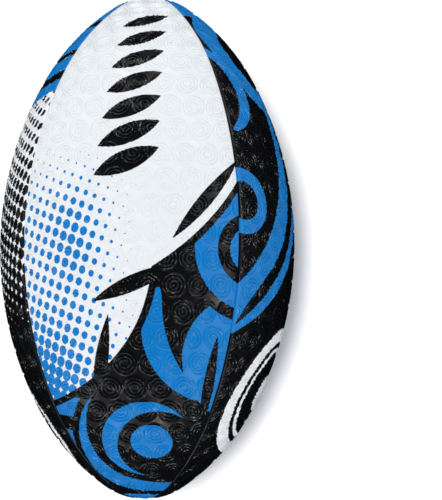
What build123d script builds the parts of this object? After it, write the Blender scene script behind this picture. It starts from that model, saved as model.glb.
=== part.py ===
from build123d import *
import math
import os

# Size 5 rugby ball: four stitched panels over a bladder with a needle valve.
# Millimetres.  The long axis is X, the front panel faces +Z, the valve is at -Z.

# outline of the blown-up ball, a smooth chain of three arcs from the middle to the nose
HALF_LENGTH = 150.0
RADIUS = 87.5
SIDE_ARC = 205.5
SIDE_SWEEP = 29.0
NOSE_ARC = 40.0

# cover: a rubber skin backed by three plies of cloth, edges turned in at the seams
SKIN = 1.3
PLY = 0.4
PLY_COUNT = 3
BOND_GAP = 0.03
SEAM_HALF_GAP = 0.05
SEAM_EDGE_ROUND = 0.9
TURN_IN = 7.0

# seam thread, a saddle stitch through both turned-in edges
STITCH_PITCH = 7.5
STITCHES = 47
STITCH_DEPTH = 5.0
THREAD = 0.9
THREAD_PAIR = 1.2
THREAD_PLAY = 0.03

# bladder
BLADDER_WALL = 0.8
BLADDER_GAP = 0.08
BLADDER_SEAM_CLEARANCE = 0.25

# valve, on the axis of the back panel
VALVE_OPENING = 8.2
LINING_PATCH = 36.0
LINING_PATCH_THICKNESS = 0.45
HOUSING_STEM = 8.0
HOUSING_RECESS = 0.5
HOUSING_LENGTH = 15.0
HOUSING_COLLAR = 16.0
HOUSING_COLLAR_THICKNESS = 1.0
HOUSING_BORE = 5.0
PATCH_DISC = 30.0
PATCH_THICKNESS = 0.8
PLUG_DIAMETER = 4.9
PLUG_RECESS = 0.3
PLUG_HEAD = 6.2
PLUG_HEAD_THICKNESS = 0.7
NEEDLE_BORE = 2.0
NEEDLE_DEPTH = 12.0

REACH = 200.0

os.makedirs("parts", exist_ok=True)


def outline(depth):
    """Centre, radius and end angle of each arc, set inwards by depth."""
    sweep = math.radians(SIDE_SWEEP)
    side_centre = (0.0, RADIUS - SIDE_ARC)
    nose_centre = (HALF_LENGTH - NOSE_ARC, 0.0)
    corner_x = side_centre[0] + SIDE_ARC * math.sin(sweep)
    corner_y = side_centre[1] + SIDE_ARC * math.cos(sweep)
    gap_x = nose_centre[0] - corner_x
    gap_y = nose_centre[1] - corner_y
    along = gap_x * math.sin(sweep) + gap_y * math.cos(sweep)
    shoulder = (NOSE_ARC**2 - gap_x**2 - gap_y**2) / (2 * (along + NOSE_ARC))
    shoulder_centre = (
        corner_x - shoulder * math.sin(sweep),
        corner_y - shoulder * math.cos(sweep),
    )
    turn = math.atan2(
        nose_centre[0] - shoulder_centre[0], nose_centre[1] - shoulder_centre[1]
    )
    return [
        (side_centre, SIDE_ARC - depth, sweep),
        (shoulder_centre, shoulder - depth, turn),
        (nose_centre, NOSE_ARC - depth, math.pi / 2),
    ]


def on_arc(arc, angle, side=1):
    (cx, cy), radius, _ = arc
    return (side * (cx + radius * math.sin(angle)), cy + radius * math.cos(angle))


def body(depth):
    """The solid of revolution that lies depth below the outside of the ball."""
    side, shoulder, nose = outline(depth)
    low, high, tip = side[2], shoulder[2], nose[2]
    edges = [ThreePointArc(on_arc(side, low, -1), on_arc(side, 0), on_arc(side, low))]
    for way in (1, -1):
        middle = (low + high) / 2
        edges.append(
            ThreePointArc(
                on_arc(shoulder, low, way),
                on_arc(shoulder, middle, way),
                on_arc(shoulder, high, way),
            )
        )
        middle = (high + tip) / 2
        edges.append(
            ThreePointArc(
                on_arc(nose, high, way), on_arc(nose, middle, way), on_arc(nose, tip, way)
            )
        )
    edges.append(Line(on_arc(nose, tip, -1), on_arc(nose, tip, 1)))
    return revolve(make_face(edges), Axis.X, 360)


def wedge(inset):
    """The quarter of space around +Z that lies inset inside both seam planes."""
    apex = inset * math.sqrt(2)
    corner = Polyline((0, apex), (REACH, apex + REACH), (-REACH, apex + REACH), close=True)
    return extrude(Plane.YZ * make_face(corner), REACH, both=True)


def quarter(inset, depth):
    return body(depth) & wedge(inset)


def seam_point(distance, depth):
    """Point at a signed distance along the outline, measured from the middle."""
    left = abs(distance)
    start = 0.0
    for arc in outline(depth):
        length = arc[1] * (arc[2] - start)
        if left <= length:
            break
        left -= length
        start = arc[2]
    return on_arc(arc, start + left / arc[1], 1 if distance >= 0 else -1)


def rod(start, end, diameter):
    """A round rod between two points."""
    way = Vector(*end) - Vector(*start)
    plane = Plane(origin=start, z_dir=way)
    return extrude(plane * Circle(diameter / 2), way.length)


def pin(diameter, top_depth, bottom_depth):
    """A cylinder on the valve axis between two depths below the back of the ball."""
    top = RADIUS - top_depth
    length = bottom_depth - top_depth
    return Pos(0, 0, -top + length / 2) * Cylinder(diameter / 2, length)


def disc(diameter, top_depth, thickness):
    """A disc on the valve axis that follows the curve of the ball."""
    curved = body(top_depth) - body(top_depth + thickness)
    return curved & pin(diameter, -5, 30)


def one_solid(shape):
    """The largest solid of a shape, free of slivers."""
    return max(shape.solids(), key=lambda solid: solid.volume)


# cover layers of one panel, from the skin inwards
stitch_points = [
    seam_point((i - (STITCHES - 1) / 2) * STITCH_PITCH, STITCH_DEPTH)
    for i in range(STITCHES)
]
flange = SEAM_HALF_GAP + SKIN + PLY_COUNT * (PLY + BOND_GAP)
run_offset = flange + THREAD_PLAY + THREAD / 2
rod_reach = run_offset + THREAD / 2 + 0.1

hole_row = [
    rod((x, -rod_reach, z), (x, rod_reach, z), THREAD_PAIR + 2 * THREAD_PLAY)
    for x, z in stitch_points
]
holes = [hole.rotate(Axis.X, angle) for angle in (45, -45) for hole in hole_row]
core = body(TURN_IN)


def cover_layer(inset, depth, thickness, edge_round=0.0):
    outside = one_solid(quarter(inset, depth))
    if edge_round:
        rims = [edge for edge in outside.edges() if abs((edge @ 0.5).Y) > 1.0]
        outside = one_solid(fillet(rims, edge_round))
    layer = outside - quarter(inset + thickness, depth + thickness) - core
    return one_solid(layer - holes)


layers = [("panel", cover_layer(SEAM_HALF_GAP, 0.0, SKIN, SEAM_EDGE_ROUND))]
inset, depth = SEAM_HALF_GAP + SKIN, SKIN
for number in range(1, PLY_COUNT + 1):
    inset += BOND_GAP
    depth += BOND_GAP
    layers.append((f"ply_{number}", cover_layer(inset, depth, PLY)))
    inset += PLY
    depth += PLY
lining_depth = depth

opening = pin(VALVE_OPENING, -5, 12)
sides = {"front": 0, "right": 90, "back": 180, "left": -90}
for name, layer in layers:
    for side, angle in sides.items():
        turned = layer.rotate(Axis.X, angle)
        if side == "back":
            turned = one_solid(turned - opening)
        export_step(turned, f"parts/{name}_{side}.step")

# seam thread: a doubled thread through each hole, a single run on each side between holes
thread_parts = [
    rod((x, -rod_reach, z), (x, rod_reach, z), THREAD_PAIR) for x, z in stitch_points
]
for (x0, z0), (x1, z1) in zip(stitch_points, stitch_points[1:]):
    for y in (-run_offset, run_offset):
        thread_parts.append(rod((x0, y, z0), (x1, y, z1), THREAD))
thread = one_solid(thread_parts[0].fuse(*thread_parts[1:]))
seams = {"front_left": -45, "front_right": 45, "back_right": 135, "back_left": -135}
for seam, angle in seams.items():
    export_step(thread.rotate(Axis.X, angle), f"parts/seam_thread_{seam}.step")

# bladder: follows the lining, with a groove over each pair of turned-in edges
groove = rod_reach + BLADDER_SEAM_CLEARANCE


def bladder_body(inwards):
    depth = lining_depth + BLADDER_GAP + inwards
    shape = body(TURN_IN + BLADDER_SEAM_CLEARANCE + inwards)
    lobe = quarter(groove + inwards, depth)
    for angle in sides.values():
        shape += lobe.rotate(Axis.X, angle)
    pocket = disc(LINING_PATCH + 1 + 2 * inwards, -1, depth + LINING_PATCH_THICKNESS + 1)
    return shape - pocket


bladder = bladder_body(0) - bladder_body(BLADDER_WALL) - pin(HOUSING_STEM + 0.1, -5, 30)
export_step(one_solid(bladder), "parts/bladder.step")

# valve, from the outside inwards
patch_top = lining_depth + BOND_GAP
lining_patch = disc(LINING_PATCH, patch_top, LINING_PATCH_THICKNESS) - opening
export_step(one_solid(lining_patch), "parts/valve_lining_patch.step")

bladder_inside = lining_depth + BLADDER_GAP + LINING_PATCH_THICKNESS + BLADDER_WALL
valve_patch = disc(PATCH_DISC, bladder_inside + BOND_GAP, PATCH_THICKNESS)
valve_patch -= pin(HOUSING_STEM + 0.1, -5, 30)
export_step(one_solid(valve_patch), "parts/valve_patch.step")

collar_top = bladder_inside + PATCH_THICKNESS + 2 * BOND_GAP
housing = pin(HOUSING_STEM, HOUSING_RECESS, HOUSING_RECESS + HOUSING_LENGTH)
housing += disc(HOUSING_COLLAR, collar_top, HOUSING_COLLAR_THICKNESS)
head_seat = HOUSING_RECESS + PLUG_RECESS + PLUG_HEAD_THICKNESS + 0.05
housing -= pin(HOUSING_BORE, -5, 30)
housing -= pin(PLUG_HEAD + 0.1, -5, head_seat)
export_step(one_solid(housing), "parts/valve_housing.step")

plug_top = HOUSING_RECESS + PLUG_RECESS
plug = pin(PLUG_DIAMETER, plug_top, HOUSING_RECESS + HOUSING_LENGTH)
plug += pin(PLUG_HEAD, plug_top, plug_top + PLUG_HEAD_THICKNESS)
plug -= pin(NEEDLE_BORE, -5, plug_top + NEEDLE_DEPTH)
export_step(one_solid(plug), "parts/valve_plug.step")
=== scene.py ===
"""Rugby ball: the looks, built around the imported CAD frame."""

import math

import bpy
import numpy as np
from mathutils import Matrix, Vector
from mathutils.geometry import delaunay_2d_cdt


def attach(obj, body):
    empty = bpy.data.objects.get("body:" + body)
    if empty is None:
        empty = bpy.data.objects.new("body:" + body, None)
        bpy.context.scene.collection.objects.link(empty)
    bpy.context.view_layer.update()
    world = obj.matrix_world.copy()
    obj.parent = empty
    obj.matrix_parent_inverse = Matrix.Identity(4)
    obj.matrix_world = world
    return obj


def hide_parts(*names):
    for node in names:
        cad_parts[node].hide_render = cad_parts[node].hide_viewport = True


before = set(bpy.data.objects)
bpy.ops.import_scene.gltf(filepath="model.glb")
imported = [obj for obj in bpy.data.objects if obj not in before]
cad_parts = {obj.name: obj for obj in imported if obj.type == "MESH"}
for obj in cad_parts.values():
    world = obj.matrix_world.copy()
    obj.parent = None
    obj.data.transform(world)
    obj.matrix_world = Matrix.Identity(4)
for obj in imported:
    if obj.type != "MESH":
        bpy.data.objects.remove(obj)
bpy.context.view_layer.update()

# ---------------------------------------------------------------- shape of the ball, in mm
# The outline is the CAD's: three arcs from the middle to the nose.
HALF_LENGTH = 150.0
RADIUS = 87.5
SIDE_ARC = 205.5
SIDE_SWEEP = math.radians(29.0)
NOSE_ARC = 40.0
SKIN = 1.3
TURN_IN = 7.0
QUARTER = math.pi / 4


def outline_arcs():
    """(centre x, centre y, radius, end angle) of each arc."""
    cy = RADIUS - SIDE_ARC
    px = SIDE_ARC * math.sin(SIDE_SWEEP)
    py = cy + SIDE_ARC * math.cos(SIDE_SWEEP)
    nx = HALF_LENGTH - NOSE_ARC
    gx, gy = nx - px, -py
    along = gx * math.sin(SIDE_SWEEP) + gy * math.cos(SIDE_SWEEP)
    shoulder = (NOSE_ARC**2 - gx**2 - gy**2) / (2 * (along + NOSE_ARC))
    sx = px - shoulder * math.sin(SIDE_SWEEP)
    sy = py - shoulder * math.cos(SIDE_SWEEP)
    turn = math.atan2(nx - sx, -sy)
    return [
        (0.0, cy, SIDE_ARC, SIDE_SWEEP),
        (sx, sy, shoulder, turn),
        (nx, 0.0, NOSE_ARC, math.pi / 2),
    ]


ARCS = outline_arcs()
ARC_STARTS = [0.0]
for arc_number, (_, _, arc_radius, arc_end) in enumerate(ARCS):
    arc_begin = ARCS[arc_number - 1][3] if arc_number else 0.0
    ARC_STARTS.append(ARC_STARTS[-1] + arc_radius * (arc_end - arc_begin))
REACH = ARC_STARTS[-1]


def outline_at(v, depth=0.0):
    """x, radius and slope angle at the signed distance v along the outline."""
    v = np.asarray(v, float)
    a = np.abs(v)
    angle = np.zeros_like(a)
    cx = np.zeros_like(a)
    cy = np.zeros_like(a)
    rad = np.zeros_like(a)
    for i, (x, y, r, _) in enumerate(ARCS):
        here = a >= ARC_STARTS[i]
        begin = ARCS[i - 1][3] if i else 0.0
        angle = np.where(here, begin + (a - ARC_STARTS[i]) / r, angle)
        cx = np.where(here, x, cx)
        cy = np.where(here, y, cy)
        rad = np.where(here, r, rad)
    angle = np.minimum(angle, math.pi / 2)
    side = np.where(v < 0, -1.0, 1.0)
    x = side * (cx + (rad - depth) * np.sin(angle))
    rho = cy + (rad - depth) * np.cos(angle)
    return x, np.maximum(rho, 0.0), side * angle


# ---------------------------------------------------------------- printed art
# Every panel is drawn flat: u runs across it to the right and v along it
# to the +X nose, both in mm from its middle.  A shape is a signed distance
# in mm, negative inside, and angles are in degrees from +u towards +v.


def union(*shapes):
    return np.minimum.reduce(shapes)


def overlap(*shapes):
    return np.maximum.reduce(shapes)


def cut(base, *shapes):
    return np.maximum(base, -union(*shapes))


def ease(value, start, end):
    """0 at start and beyond, 1 at end and beyond, smooth between."""
    t = np.clip((value - start) / (end - start), 0, 1)
    return t * t * (3 - 2 * t)


def disc(u, v, cu, cv, radius):
    return np.hypot(u - cu, v - cv) - radius


def ring(u, v, cu, cv, radius, width):
    return np.abs(disc(u, v, cu, cv, radius)) - width / 2


def leaf(u, v, cu, cv, length, width, way):
    """A leaf pointed at both ends, its long axis at the angle way."""
    c, s = math.cos(math.radians(way)), math.sin(math.radians(way))
    along = (u - cu) * c + (v - cv) * s
    across = np.abs((v - cv) * c - (u - cu) * s)
    radius = (length**2 + width**2) / (4 * width)
    return np.hypot(along, across + radius - width / 2) - radius


def crescent(u, v, cu, cv, radius, width, way, gape):
    """A moon, width thick at the angle way, with its horns gape apart at the far side."""
    c, s = math.cos(math.radians(way)), math.sin(math.radians(way))
    shift = width / 2 + gape
    inner = disc(u, v, cu - shift * c, cv - shift * s, radius - width / 2 + gape)
    return cut(disc(u, v, cu, cv, radius), inner)


def ribbon(u, v, cu, cv, radius, start, end, width):
    """A band along an arc from the angle start to end, pointed at both ends."""
    middle, half = math.radians((start + end) / 2), math.radians(end - start) / 2
    turn = np.arctan2(v - cv, u - cu) - middle
    turn = np.clip((turn + math.pi) % math.tau - math.pi, -half, half)
    thick = width / 2 * np.sqrt(np.cos(turn / half * math.pi / 2) + 1e-6)
    spot_u = cu + radius * np.cos(turn + middle)
    spot_v = cv + radius * np.sin(turn + middle)
    return np.hypot(u - spot_u, v - spot_v) - thick


def mark(u, v):
    """A plain row of slanted bars, shorter towards the nose."""
    bars = []
    for i in range(7):
        bars.append(leaf(u, v, 0.5 * i, 42 + 16.5 * i, 40 - 2 * i, 12.5 - 0.6 * i, 24))
    return union(*bars)


def front_art(u, v):
    """White above and to the left, black below, with blue moons in the black."""
    white = union(disc(u, v, -74, 125, 168), disc(u, v, -72, -10, 88))
    black = union(
        -white,
        leaf(u, v, 47, 22, 62, 8, 50),
        leaf(u, v, -14, -74, 62, 8, 80),
        leaf(u, v, 6, -26, 52, 9, 24),
        mark(u, v),
    )
    upper = cut(disc(u, v, 74, -6, 34), ring(u, v, 74, -6, 16, 8))
    lower = cut(disc(u, v, 70, -70, 38), disc(u, v, 74, -6, 41), leaf(u, v, 48, -84, 60, 7, 78))
    sweep = ribbon(u, v, 68, -48, 52, 158, 240, 14)
    swirl = disc(u, v, 10, -122, 48)
    moons = union(
        disc(u, v, 12, -122, 12),
        crescent(u, v, 10, -122, 27, 10, 150, 3),
        crescent(u, v, 10, -122, 43, 11, 235, 5),
    )
    corner = crescent(u, v, 10, -120, 66, 22, 312, 12)
    stripes = union(
        ribbon(u, v, -60, -260, 163, 60, 125, 14),
        ribbon(u, v, -60, -260, 140, 60, 130, 15),
    )
    blue = union(upper, lower, sweep, moons, cut(union(corner, stripes), swirl))
    blue = overlap(blue, 4 - white)
    left, low = ease(u, 15, -35), ease(v, -20, -100)
    swell = np.exp(-(((u + 28) / 17) ** 2) - ((v + 2) / 27) ** 2)
    size = left * ease(v, 62, 5) * 0.3 + 0.14 * swell
    size = size + low * (0.14 + 0.24 * ease(u, -8, -75))
    return dict(black=black, blue=blue, white=np.ones_like(u), size=size, dot_blue=1.0)


def right_art(u, v):
    """Black, with blue ribbons the same on both sides and a plain white target low down."""
    w = -np.abs(u)
    blue = [
        ring(u, v, 0, 116, 31, 15),
        ribbon(w, v, -150, 80, 139, -62, 2, 15),
        ribbon(w, v, -158, 92, 172, -60, -16, 8),
        ring(w, v, -64, 22, 15, 8),
        ribbon(w, v, -70, 96, 34, -70, 62, 9),
        ribbon(w, v, -20, -60, 48, 120, 186, 8),
        150 - v,
    ]
    middle = np.hypot(u, v + 90)
    white = union(np.abs(middle - 37) - 4, np.abs(middle - 28) - 1.4, middle - 11)
    return dict(
        black=-np.ones_like(u), blue=union(*blue), white=white, size=np.zeros_like(u), dot_blue=0.0)


def left_art(u, v):
    """Black dots that thicken towards a black end, under a blue end with black ribbons."""
    top = disc(u, v, 0, 262, 180)
    stripes = union(
        ring(u, v, 0, 262, 168, 7), ring(u, v, 0, 262, 150, 5), ring(u, v, 0, 262, 122, 7))
    stripes = overlap(stripes, top)
    low = -disc(u, v, 0, 180, 258)
    moon = crescent(u, v, 0, -112, 30, 6, 0, 3)
    moon = union(moon, crescent(u, v, 0, -112, 30, 6, 180, 3))
    size = 0.28 + 0.22 * ease(v, 96, 0) + 0.20 * ease(v, -15, -62)
    return dict(
        black=union(low, stripes), blue=cut(top, stripes), white=moon, size=size, dot_blue=0.0)


# ---------------------------------------------------------------- raised grip rings
# Sets of three rings round a small dot, on a slanted grid. They fade out near a seam.
RING_STEP_A = (14.1, 0.2)
RING_STEP_B = (4.8, -14.7)
RING_ORIGIN = (46.0, 47.0)
RING_RADII = (2.3, 4.4, 6.3)
RING_HALF_WIDTH = 0.6
RING_HEIGHT = 0.55
DOT_RADIUS = 1.0
RING_FADE_START = 1.2
RING_FADE_LENGTH = 1.6
FAR_AWAY = 99.0
RING_GRID = np.linalg.inv(np.array([RING_STEP_A, RING_STEP_B]).T)


def to_ring_centre(u, v):
    """Distance to the centre of the nearest set of rings."""
    du, dv = u - RING_ORIGIN[0], v - RING_ORIGIN[1]
    p = RING_GRID[0, 0] * du + RING_GRID[0, 1] * dv
    q = RING_GRID[1, 0] * du + RING_GRID[1, 1] * dv
    best = np.full(np.shape(u), FAR_AWAY)
    for i in (0, 1):
        for j in (0, 1):
            a, b = np.floor(p) + i, np.floor(q) + j
            cu = a * RING_STEP_A[0] + b * RING_STEP_B[0]
            cv = a * RING_STEP_A[1] + b * RING_STEP_B[1]
            best = np.minimum(best, np.hypot(du - cu, dv - cv))
    return best


def bulge(distance, reach):
    """A smooth rise to the rings' height at no distance, and 0 from reach on."""
    t = np.clip(distance / reach, 0, 1)
    return RING_HEIGHT * 0.5 * (1 + np.cos(math.pi * t))


def relief(u, v):
    """Height of the grip pattern."""
    r = to_ring_centre(u, v)
    height = bulge(r, DOT_RADIUS)
    for radius in RING_RADII:
        height = np.maximum(height, bulge(np.abs(r - radius), RING_HALF_WIDTH))
    fade = np.clip((seam_gap(u, v) - RING_FADE_START) / RING_FADE_LENGTH, 0, 1)
    return height * fade * fade * (3 - 2 * fade)


# ---------------------------------------------------------------- panel meshes
SEAM_STEPS = 460
HALVINGS = 40
# Loops round a panel's edge, as (distance from the seam, depth below the outside):
# from the plain inside round the turned-in edge, then up over the rounded shoulder.
TURNED_EDGE = [(1.35, SKIN), (1.35, TURN_IN), (0.05, TURN_IN)]
SHOULDER = [(0.05, 1.1), (0.1, 0.8), (0.25, 0.5), (0.5, 0.27), (0.85, 0.1), (1.3, 0.02), (1.7, 0)]
VALVE_HOLE = 4.1
HOLE_POINTS = 40
# round the valve hole the rings give way to a low lip
VALVE_CLEAR = 8.5
VALVE_FADE = 1.5
LIP_HEIGHT = 0.35
LIP_RADIUS = 6.6
LIP_WIDTH = 1.1
# how far the grids of mesh points reach, more than enough for a panel, and their steps
PANEL_HALF_WIDTH = 72
RING_CENTRE_LIMIT = 76
SETS_ALONG_A = 40
SETS_ALONG_B = 20
DOT_MIDDLE = 0.55
RING_POINT_STEP = 1.0
FILL_STEP = 1.05
PRINT_STEP = 0.55
INSIDE_STEP = 5.0
# outside, how far the points keep from the rings, a seam, a tip and the hole
FILL_TO_RING = 0.35
POINT_TO_SEAM = 2.1
POINT_TO_TIP = 3
POINT_TO_HOLE = 0.4
# the same for the plain inside
INSIDE_TO_SEAM = 4.5
INSIDE_TO_TIP = 8
INSIDE_TO_HOLE = 2
# finer points lie this near to the print's edges, and each small square keeps only one
PRINT_REACH = 0.75
SAME_POINT = 0.25
SHARP_ANGLE = math.radians(62)
# smallest radii, in mm, that an arc length is turned into an angle with
GAP_GUARD = 0.3
ANGLE_GUARD = 0.5


def seam_gap(u, v):
    """Distance to the nearest seam."""
    _, rho, _ = outline_at(v)
    phi = np.abs(u) / np.maximum(rho, GAP_GUARD)
    return rho * np.sin(np.clip(QUARTER - phi, -1, 1))


def tip_of(inset, depth):
    """How far along the outline a panel's two edges meet, with this inset."""
    low, high = 0.0, REACH
    for _ in range(HALVINGS):
        middle = (low + high) / 2
        if float(outline_at(middle, depth)[1]) > inset * math.sqrt(2):
            low = middle
        else:
            high = middle
    return low


def seam_loop(inset, depth):
    """Points round a panel edge as (v, angle from the panel's middle)."""
    end = tip_of(inset, depth)
    v = np.linspace(-end, end, SEAM_STEPS + 1)
    _, rho, _ = outline_at(v, depth)
    phi = QUARTER - np.arcsin(np.clip(inset / np.maximum(rho, 1e-6), 0, math.sqrt(0.5)))
    phi[0] = phi[-1] = 0.0
    return np.concatenate([v, v[-2:0:-1]]), np.concatenate([phi, -phi[-2:0:-1]])


def place(v, phi, depth):
    """Points on the +Z panel, in mm."""
    x, rho, _ = outline_at(v, depth)
    return np.stack([x, -rho * np.sin(phi), rho * np.cos(phi)], -1)


def hex_grid(step):
    """Points over a whole panel and beyond, every other row shifted by half a step."""
    rows = np.arange(-REACH, REACH, step * math.sqrt(0.75))
    cols = np.arange(-PANEL_HALF_WIDTH, PANEL_HALF_WIDTH, step)
    u, v = np.meshgrid(cols, rows)
    u = u + (np.arange(len(rows)) % 2 * step / 2)[:, None]
    return u.ravel(), v.ravel()


def ring_points():
    """Points that follow every raised ring of a panel: its feet, slopes and crest."""
    radii = [0.0, DOT_MIDDLE, DOT_RADIUS]
    for radius in RING_RADII:
        radii += [radius + share * RING_HALF_WIDTH for share in (-1, -0.5, 0, 0.5, 1)]
    us, vs = [], []
    for a in range(-SETS_ALONG_A, SETS_ALONG_A + 1):
        for b in range(-SETS_ALONG_B, SETS_ALONG_B + 1):
            cu = RING_ORIGIN[0] + a * RING_STEP_A[0] + b * RING_STEP_B[0]
            cv = RING_ORIGIN[1] + a * RING_STEP_A[1] + b * RING_STEP_B[1]
            if abs(cu) > RING_CENTRE_LIMIT or abs(cv) > REACH:
                continue
            for n, r in enumerate(radii):
                count = max(1, round(2 * math.pi * r / RING_POINT_STEP))
                turn = (np.arange(count) + 0.5 * (n % 2)) * 2 * math.pi / count
                us.append(cu + r * np.cos(turn))
                vs.append(cv + r * np.sin(turn))
    return np.concatenate(us), np.concatenate(vs)


def thin_out(u, v):
    """Keep the first point of each small square."""
    squares = np.stack([np.floor(u / SAME_POINT), np.floor(v / SAME_POINT)], -1)
    _, first = np.unique(squares, axis=0, return_index=True)
    first.sort()
    return u[first], v[first]


def outside_points(art, hole):
    """Mesh points along the rings, between them, and close along the print's edges."""
    ring_u, ring_v = ring_points()
    fill_u, fill_v = hex_grid(FILL_STEP)
    clear = max(RING_RADII) + RING_HALF_WIDTH + FILL_TO_RING
    between = to_ring_centre(fill_u, fill_v) > clear
    print_u, print_v = hex_grid(PRINT_STEP)
    inside = seam_gap(print_u, print_v) > POINT_TO_SEAM
    print_u, print_v = print_u[inside], print_v[inside]
    drawn = art(print_u, print_v)
    to_edge = np.minimum.reduce([np.abs(drawn[ink]) for ink in ("black", "blue", "white")])
    near = to_edge < PRINT_REACH
    u = np.concatenate([ring_u, fill_u[between], print_u[near]])
    v = np.concatenate([ring_v, fill_v[between], print_v[near]])
    inside = (seam_gap(u, v) > POINT_TO_SEAM) & (np.abs(v) < REACH - POINT_TO_TIP)
    if hole:
        inside &= np.hypot(u, v) > hole + POINT_TO_HOLE
    return thin_out(u[inside], v[inside])


def inside_points(hole):
    """Mesh points for the plain inside."""
    u, v = hex_grid(INSIDE_STEP)
    inside = (seam_gap(u, v) > INSIDE_TO_SEAM) & (np.abs(v) < REACH - INSIDE_TO_TIP)
    if hole:
        inside &= np.hypot(u, v) > hole + INSIDE_TO_HOLE
    return u[inside], v[inside]


def outside_height(u, v, hole):
    """Height of the grip pattern, and of the lip round a valve hole."""
    height = relief(u, v)
    if hole:
        r = np.hypot(u, v)
        height = height * np.clip((r - VALVE_CLEAR) / VALVE_FADE, 0, 1)
        height = height + LIP_HEIGHT * np.exp(-(((r - LIP_RADIUS) / LIP_WIDTH) ** 2))
    return height


def fill(flat_edge, u_in, v_in, hole):
    """Triangles between a closed edge loop, the points inside it and the valve hole."""
    edge = [Vector(point) for point in flat_edge]
    n = len(edge)
    edges = [(i, (i + 1) % n) for i in range(n)]
    points = edge + [Vector((a, b)) for a, b in zip(u_in, v_in)]
    start = len(points)
    if hole:
        for i in range(HOLE_POINTS):
            turn = 2 * math.pi * i / HOLE_POINTS
            points.append(Vector((hole * math.cos(turn), hole * math.sin(turn))))
        edges += [(start + i, start + (i + 1) % HOLE_POINTS) for i in range(HOLE_POINTS)]
    verts, _, faces, origin, _, _ = delaunay_2d_cdt(points, edges, [], 1, 1e-5)
    flat = np.array([(p.x, p.y) for p in verts])
    tris = np.array([f for f in faces if len(f) == 3])
    new_index = {}
    for i, sources in enumerate(origin):
        for source in sources:
            new_index[source] = i
    rim = [new_index[i] for i in range(n)]
    hole_rim = []
    if hole:
        hole_rim = [new_index[start + i] for i in range(HOLE_POINTS)]
        # a triangle with all its corners on the hole's rim lies in the hole
        tris = tris[~np.isin(tris, hole_rim).all(1)]
    return flat, tris, rim, hole_rim


def number_side(flat, base, rim, edge_ring):
    """Vertex numbers of a filled side, whose rim shares the vertices of an edge loop."""
    index = np.arange(len(flat)) + base
    for i, j in enumerate(rim):
        index[j] = edge_ring[i]
    return index


def add_attributes(mesh, values):
    """Values at the points, for the materials to read."""
    for name, data in values.items():
        kind, field = ("FLOAT_VECTOR", "vector") if data.ndim == 2 else ("FLOAT", "value")
        layer = mesh.attributes.new(name, kind, "POINT")
        layer.data.foreach_set(field, data.astype(np.float32).ravel())


def build_panel(name, turn, art, material, hole):
    """A whole rubber skin: printed, ringed outside, edges turned in, plain inside."""
    verts, flats, heights, rings, quads = [], [], [], [], []
    base = 0
    for inset, depth in TURNED_EDGE + SHOULDER:
        v, phi = seam_loop(inset, depth)
        verts.append(place(v, phi, depth))
        _, rho, _ = outline_at(v)
        flats.append(np.stack([phi * rho, v], -1))
        heights.append(np.zeros(len(v)))
        rings.append(np.arange(base, base + len(v)))
        base += len(v)
    for lower, upper in zip(rings, rings[1:]):
        quads.append(np.stack([lower, np.roll(lower, -1), np.roll(upper, -1), upper], -1))

    # outside
    flat, tris, rim, outer_hole = fill(flats[-1], *outside_points(art, hole), hole)
    _, rho, slope = outline_at(flat[:, 1])
    phi = flat[:, 0] / np.maximum(rho, ANGLE_GUARD)
    normal = [np.sin(slope), -np.cos(slope) * np.sin(phi), np.cos(slope) * np.cos(phi)]
    height = outside_height(flat[:, 0], flat[:, 1], hole)
    verts.append(place(flat[:, 1], phi, 0.0) + np.stack(normal, -1) * height[:, None])
    flats.append(flat)
    heights.append(height)
    index = number_side(flat, base, rim, rings[-1])
    triangles = [index[tris]]
    outer_hole = index[outer_hole]
    base += len(flat)

    # inside
    flat, tris, rim, inner_hole = fill(flats[0], *inside_points(hole), hole)
    _, rho, _ = outline_at(flat[:, 1])
    verts.append(place(flat[:, 1], flat[:, 0] / np.maximum(rho, ANGLE_GUARD), SKIN))
    flats.append(flat)
    heights.append(np.zeros(len(flat)))
    index = number_side(flat, base, rim, rings[0])
    triangles.append(index[tris][:, ::-1])
    inner_hole = index[inner_hole]
    if hole:
        wall = [inner_hole, outer_hole, np.roll(outer_hole, -1), np.roll(inner_hole, -1)]
        quads.append(np.stack(wall, -1))

    verts, flats, heights = np.vstack(verts), np.vstack(flats), np.concatenate(heights)
    quads, triangles = np.vstack(quads), np.vstack(triangles)
    used = np.unique(np.concatenate([quads.ravel(), triangles.ravel()]))
    renumber = np.zeros(len(verts), int)
    renumber[used] = np.arange(len(used))
    verts, flats, heights = verts[used], flats[used], heights[used]
    verts = verts @ np.array(Matrix.Rotation(turn, 3, "X")).T * 0.001
    faces = renumber[quads].tolist() + renumber[triangles].tolist()

    mesh = bpy.data.meshes.new(name)
    mesh.from_pydata(verts.tolist(), [], faces)
    mesh.validate()
    drawn = art(flats[:, 0], flats[:, 1])
    add_attributes(
        mesh,
        dict(
            black=drawn["black"],
            blue=drawn["blue"],
            white=drawn["white"],
            dot=np.where(drawn["dot_blue"] > 0.5, drawn["size"], -drawn["size"]),
            flat=np.stack([flats[:, 0], flats[:, 1], 0 * flats[:, 0]], -1),
            relief=heights / RING_HEIGHT,
        ),
    )
    mesh.shade_smooth()
    mesh.set_sharp_from_angle(angle=SHARP_ANGLE)
    piece = bpy.data.objects.new(name, mesh)
    bpy.context.scene.collection.objects.link(piece)
    mesh.materials.append(material)
    return piece


# ---------------------------------------------------------------- materials
INK_BLUE = (0.001, 0.194, 0.565, 1)
INK_BLUE_WORN = (0.001, 0.176, 0.525, 1)
INK_BLACK = (0.0035, 0.0038, 0.005, 1)
RUBBER_WHITE = (0.80, 0.83, 0.86, 1)
RUBBER_WHITE_WORN = (0.78, 0.812, 0.848, 1)
# print edges, in mm: how far they wander, and half the width of their soft border
INK_WANDER = 0.09
INK_BORDER = 0.07
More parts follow.
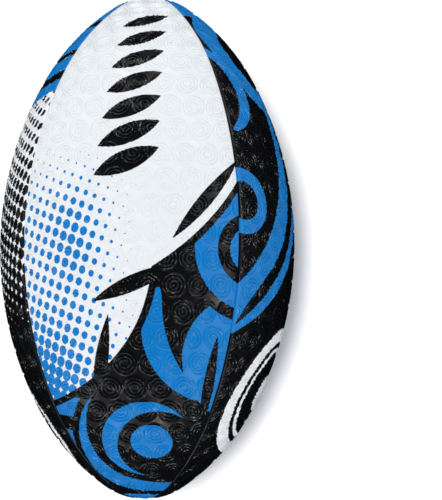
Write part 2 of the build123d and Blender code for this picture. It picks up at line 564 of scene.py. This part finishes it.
# halftone: dots on a grid, tilted and a little stretched along the ball, with their
# sizes as shares of its step
DOT_STEP_U = (5.5, -2.05)
DOT_STEP_V = (2.05, 6.5)
DOT_ORIGIN = (-25.0, -4.0)
DOT_BORDER = 0.015
SMALLEST_DOT = 0.025
# roughness of the rings in light and in black ink, and what the rubber between adds
RING_ROUGH = 0.20
BLACK_RING_ROUGH = 0.13
BETWEEN_ROUGH = 0.17


class Nodes:
    """Short ways to wire a shader."""

    def __init__(self, name):
        self.material = bpy.data.materials.new(name)
        self.material.use_nodes = True
        self.tree = self.material.node_tree
        self.shader = self.tree.nodes["Principled BSDF"]

    def put(self, value, socket):
        if isinstance(value, bpy.types.NodeSocket):
            self.tree.links.new(value, socket)
        else:
            socket.default_value = value

    def node(self, kind, inputs=(), out=0, **settings):
        node = self.tree.nodes.new(kind)
        for key, value in settings.items():
            setattr(node, key, value)
        items = inputs.items() if isinstance(inputs, dict) else enumerate(inputs)
        for key, value in items:
            self.put(value, node.inputs[key])
        return node.outputs[out]

    def math(self, operation, *values):
        return self.node("ShaderNodeMath", values, operation=operation)

    def attribute(self, name, out="Fac"):
        return self.node("ShaderNodeAttribute", out=out, attribute_name=name)

    def ramp(self, value, low, high, start=0.0, end=1.0):
        """From start to end as the value goes from low to high, and no further."""
        return self.node("ShaderNodeMapRange", [value, low, high, start, end])

    def mix(self, factor, a, b):
        # a colour mix takes its colours from sockets 6 and 7 and gives socket 2
        inputs = {0: factor, 6: a, 7: b}
        return self.node("ShaderNodeMix", inputs, out=2, data_type="RGBA")

    def place(self):
        return self.node("ShaderNodeTexCoord", out="Object")

    def noise(self, scale, detail=2.0, rough=0.5):
        inputs = {"Vector": self.place(), "Scale": scale, "Detail": detail, "Roughness": rough}
        return self.node("ShaderNodeTexNoise", inputs)

    def cloudy(self, scale, detail=3, rough=0.5, start=0.0, end=1.0):
        """Noise stretched to go from start to end."""
        return self.ramp(self.noise(scale, detail, rough), 0.3, 0.7, start, end)

    def bump(self, height, distance, strength):
        inputs = {"Strength": strength, "Distance": distance, "Height": height}
        return self.node("ShaderNodeBump", inputs)

    def finish(self, inputs):
        for key, value in inputs.items():
            self.put(value, self.shader.inputs[key])
        return self.material


def halftone(n, size):
    """1 inside the dots, 0 outside; size is each dot's radius as a share of the grid's step."""
    offset = n.node(
        "ShaderNodeVectorMath", [n.attribute("flat", "Vector"), (*DOT_ORIGIN, 0)],
        operation="SUBTRACT")
    squares = []
    for row in np.linalg.inv(np.array([DOT_STEP_U, DOT_STEP_V]).T):
        along = n.node(
            "ShaderNodeVectorMath", [offset, (*row, 0)], out="Value", operation="DOT_PRODUCT")
        off = n.math("SUBTRACT", along, n.math("ROUND", along))
        squares.append(n.math("MULTIPLY", off, off))
    reach = n.math("SQRT", n.math("ADD", *squares))
    dot = n.ramp(n.math("SUBTRACT", reach, size), -DOT_BORDER, DOT_BORDER, 1.0, 0.0)
    return n.math("MULTIPLY", dot, n.math("GREATER_THAN", size, SMALLEST_DOT))


def cover_material():
    """Printed rubber: halftone, black, blue and white inks over a white skin."""
    n = Nodes("printed_rubber")
    wander = n.cloudy(700, 2, start=-INK_WANDER, end=INK_WANDER)

    def ink(name):
        edge = n.math("ADD", n.attribute(name), wander)
        return n.ramp(edge, -INK_BORDER, INK_BORDER, 1.0, 0.0)

    black, blue, white = ink("black"), ink("blue"), ink("white")
    # the sign of the dot attribute tells blue dots from black ones
    size = n.attribute("dot")
    dot_ink = n.mix(n.math("GREATER_THAN", size, 0.0), INK_BLACK, INK_BLUE)
    worn = n.cloudy(38)
    skin = n.mix(worn, RUBBER_WHITE, RUBBER_WHITE_WORN)
    colour = n.mix(halftone(n, n.math("ABSOLUTE", size)), skin, dot_ink)
    colour = n.mix(black, colour, INK_BLACK)
    colour = n.mix(blue, colour, n.mix(worn, INK_BLUE, INK_BLUE_WORN))
    colour = n.mix(white, colour, skin)
    dark = n.math("MULTIPLY", black, n.math("SUBTRACT", 1.0, blue))
    rough = n.ramp(dark, 0, 1, RING_ROUGH, BLACK_RING_ROUGH)
    # handling polishes the raised rings; the rubber between them stays duller
    between = n.ramp(n.attribute("relief"), 0.02, 0.4, BETWEEN_ROUGH, 0.0)
    rough = n.math("ADD", rough, between)
    rough = n.math("ADD", rough, n.cloudy(420, start=-0.03, end=0.03))
    return n.finish({
        "Base Color": colour,
        "Roughness": rough,
        "Normal": n.bump(n.noise(2600, 2, 0.6), 0.00003, 0.5),
        "Specular IOR Level": 0.55,
    })


def cloth_material():
    """Woven lining: threads both ways, and a little patchy."""
    n = Nodes("lining_cloth")
    weave = []
    for direction in ("X", "Y"):
        weave.append(n.node(
            "ShaderNodeTexWave", {"Vector": n.place(), "Scale": 420.0, "Distortion": 0.6},
            out="Fac", bands_direction=direction))
    threads = n.math("MAXIMUM", *weave)
    colour = n.mix(threads, (0.42, 0.38, 0.30, 1), (0.66, 0.62, 0.53, 1))
    return n.finish({
        "Base Color": n.mix(n.cloudy(60), colour, (0.6, 0.56, 0.47, 1)),
        "Roughness": 0.9,
        "Normal": n.bump(threads, 0.0001, 0.8),
    })


def thread_material():
    """Twisted waxed thread."""
    n = Nodes("seam_thread")
    twist = n.node(
        "ShaderNodeTexWave", {"Vector": n.place(), "Scale": 700.0, "Distortion": 1.5},
        out="Fac", bands_direction="DIAGONAL")
    return n.finish({
        "Base Color": n.mix(twist, (0.55, 0.54, 0.5, 1), (0.8, 0.79, 0.75, 1)),
        "Roughness": 0.65,
        "Normal": n.bump(twist, 0.00008, 0.8),
    })


def plain_rubber(name, dark, light, roughness, grain):
    """Unprinted rubber, cloudy between two colours, with a fine grain."""
    n = Nodes(name)
    return n.finish({
        "Base Color": n.mix(n.cloudy(55, 4, 0.6), dark, light),
        "Roughness": n.cloudy(300, start=roughness - 0.07, end=roughness + 0.07),
        "Normal": n.bump(n.noise(grain, 3, 0.6), 0.0001, 0.5),
    })


# ---------------------------------------------------------------- the ball
cover = cover_material()
PANELS = [
    ("front", 0.0, front_art, "cover_rubber_white", 0.0),
    ("right", math.pi / 2, right_art, "cover_rubber_black", 0.0),
    ("back", math.pi, front_art, "cover_rubber_black", VALVE_HOLE),
    ("left", -math.pi / 2, left_art, "cover_rubber_white", 0.0),
]
for side, turn, art, slot, hole in PANELS:
    skin = build_panel(f"cover_{side}", turn, art, cover, hole)
    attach(skin, "root")
    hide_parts(f"panel_{side}")

cloth = cloth_material()
thread = thread_material()
bladder_rubber = plain_rubber(
    "bladder_rubber", (0.012, 0.012, 0.013, 1), (0.03, 0.03, 0.032, 1), 0.5, 900)
valve_rubber = plain_rubber(
    "valve_rubber", (0.01, 0.01, 0.011, 1), (0.022, 0.022, 0.024, 1), 0.55, 1800)


def inner_material(node):
    """The material of a CAD node that keeps its shape."""
    if node.startswith("ply_") or node == "valve_lining_patch":
        return cloth
    if node.startswith("seam_thread"):
        return thread
    return bladder_rubber if node == "bladder" else valve_rubber


for node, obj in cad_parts.items():
    if not node.startswith("panel_"):
        obj.data.materials.clear()
        obj.data.materials.append(inner_material(node))

# ---------------------------------------------------------------- floor, lights, camera
# From here on, lengths are in metres. The floor, the overhead light and the world are
# hidden from gloss, so the ball mirrors only the low lamps.
FLOOR_Z = -(RADIUS + 0.3) / 1000
FLOOR = 12.0
WORLD_STRENGTH = 0.11
OVERHEAD_STRENGTH = 2.45
OVERHEAD_ANGLE = math.radians(10)
LOW_LAMPS = 12
LAMP_CIRCLE = 1.06
LAMP_HEIGHT = 0.44
LAMP_SIZE = 0.16
LAMP_POWER = 0.85
# The lights are round, so how they are turned about their own aim makes no difference.
# This only has to point some other way than the aim.
LAMP_UP = Vector((1, 0, 0.001))

floor_mesh = bpy.data.meshes.new("floor")
corners = [(x * FLOOR, y * FLOOR, FLOOR_Z) for x, y in ((-1, -1), (1, -1), (1, 1), (-1, 1))]
floor_mesh.from_pydata(corners, [], [(0, 1, 2, 3)])
floor = bpy.data.objects.new("floor", floor_mesh)
bpy.context.scene.collection.objects.link(floor)
paper = Nodes("studio_floor")
floor_mesh.materials.append(paper.finish({
    "Base Color": paper.mix(paper.noise(3, 2), (0.94, 0.94, 0.94, 1), (0.95, 0.95, 0.95, 1)),
    "Emission Color": (1, 1, 1, 1),
    "Emission Strength": 0.06,
    "Roughness": 1.0,
    "Specular IOR Level": 0.0,
}))
floor.visible_glossy = False

scene = bpy.context.scene
scene.view_settings.view_transform = "Standard"
world = bpy.data.worlds.new("studio")
scene.world = world
world.use_nodes = True
background = world.node_tree.nodes["Background"]
background.inputs["Color"].default_value = (1, 1, 1, 1)
background.inputs["Strength"].default_value = WORLD_STRENGTH
world.cycles_visibility.glossy = False


def aim(obj, position, target, up):
    """Put an object at position, facing the target, with up upwards."""
    back = (position - target).normalized()
    right = up.cross(back).normalized()
    top = back.cross(right)
    turn = Matrix((right, top, back)).transposed().to_4x4()
    obj.matrix_world = Matrix.Translation(position) @ turn


def add_light(name, kind, strength, position, target):
    """A light of this kind and strength, facing the target."""
    data = bpy.data.lights.new(name, kind)
    data.energy = strength
    lamp = bpy.data.objects.new(name, data)
    scene.collection.objects.link(lamp)
    aim(lamp, Vector(position), Vector(target), LAMP_UP)
    return lamp


# a wide soft light from overhead, and low lamps all round that pick out the raised rings
overhead = add_light("overhead", "SUN", OVERHEAD_STRENGTH, (0, 0, 1.5), (0, -0.03, 0))
overhead.data.angle = OVERHEAD_ANGLE
overhead.visible_glossy = False
for lamp_number in range(LOW_LAMPS):
    around = math.tau * (lamp_number + 0.5) / LOW_LAMPS
    spot = (LAMP_CIRCLE * math.cos(around), LAMP_CIRCLE * math.sin(around), LAMP_HEIGHT)
    low_lamp = add_light(f"low_{lamp_number}", "AREA", LAMP_POWER, spot, (0, 0, 0))
    low_lamp.data.shape = "DISK"
    low_lamp.data.size = LAMP_SIZE

# The camera looks down on the ball: turned 9 degrees about the long axis towards
# the right panel, 4 degrees towards the -X nose, and level to within a degree.
BALL_TURN = math.radians(8.96)
BALL_PITCH = math.radians(-4.04)
BALL_TILT = math.radians(-0.82)
CAMERA_DISTANCE = 1.038
LOOK_RIGHT = 0.0440
LOOK_DOWN = 0.0022
out_dir = Vector((0, -math.sin(BALL_TURN), math.cos(BALL_TURN)))
right_dir = Vector((0, -math.cos(BALL_TURN), -math.sin(BALL_TURN)))
view_dir = math.sin(BALL_PITCH) * Vector((1, 0, 0)) + math.cos(BALL_PITCH) * out_dir
up_dir = math.cos(BALL_PITCH) * Vector((1, 0, 0)) - math.sin(BALL_PITCH) * out_dir
up_tilted = math.sin(BALL_TILT) * right_dir + math.cos(BALL_TILT) * up_dir
right_tilted = math.cos(BALL_TILT) * right_dir - math.sin(BALL_TILT) * up_dir
camera_data = bpy.data.cameras.new("camera")
camera_data.sensor_width = 36.0
camera_data.lens = 124.4
camera = bpy.data.objects.new("camera", camera_data)
scene.collection.objects.link(camera)
target = right_tilted * LOOK_RIGHT - up_tilted * LOOK_DOWN
aim(camera, view_dir * CAMERA_DISTANCE, target, up_tilted)
scene.camera = camera
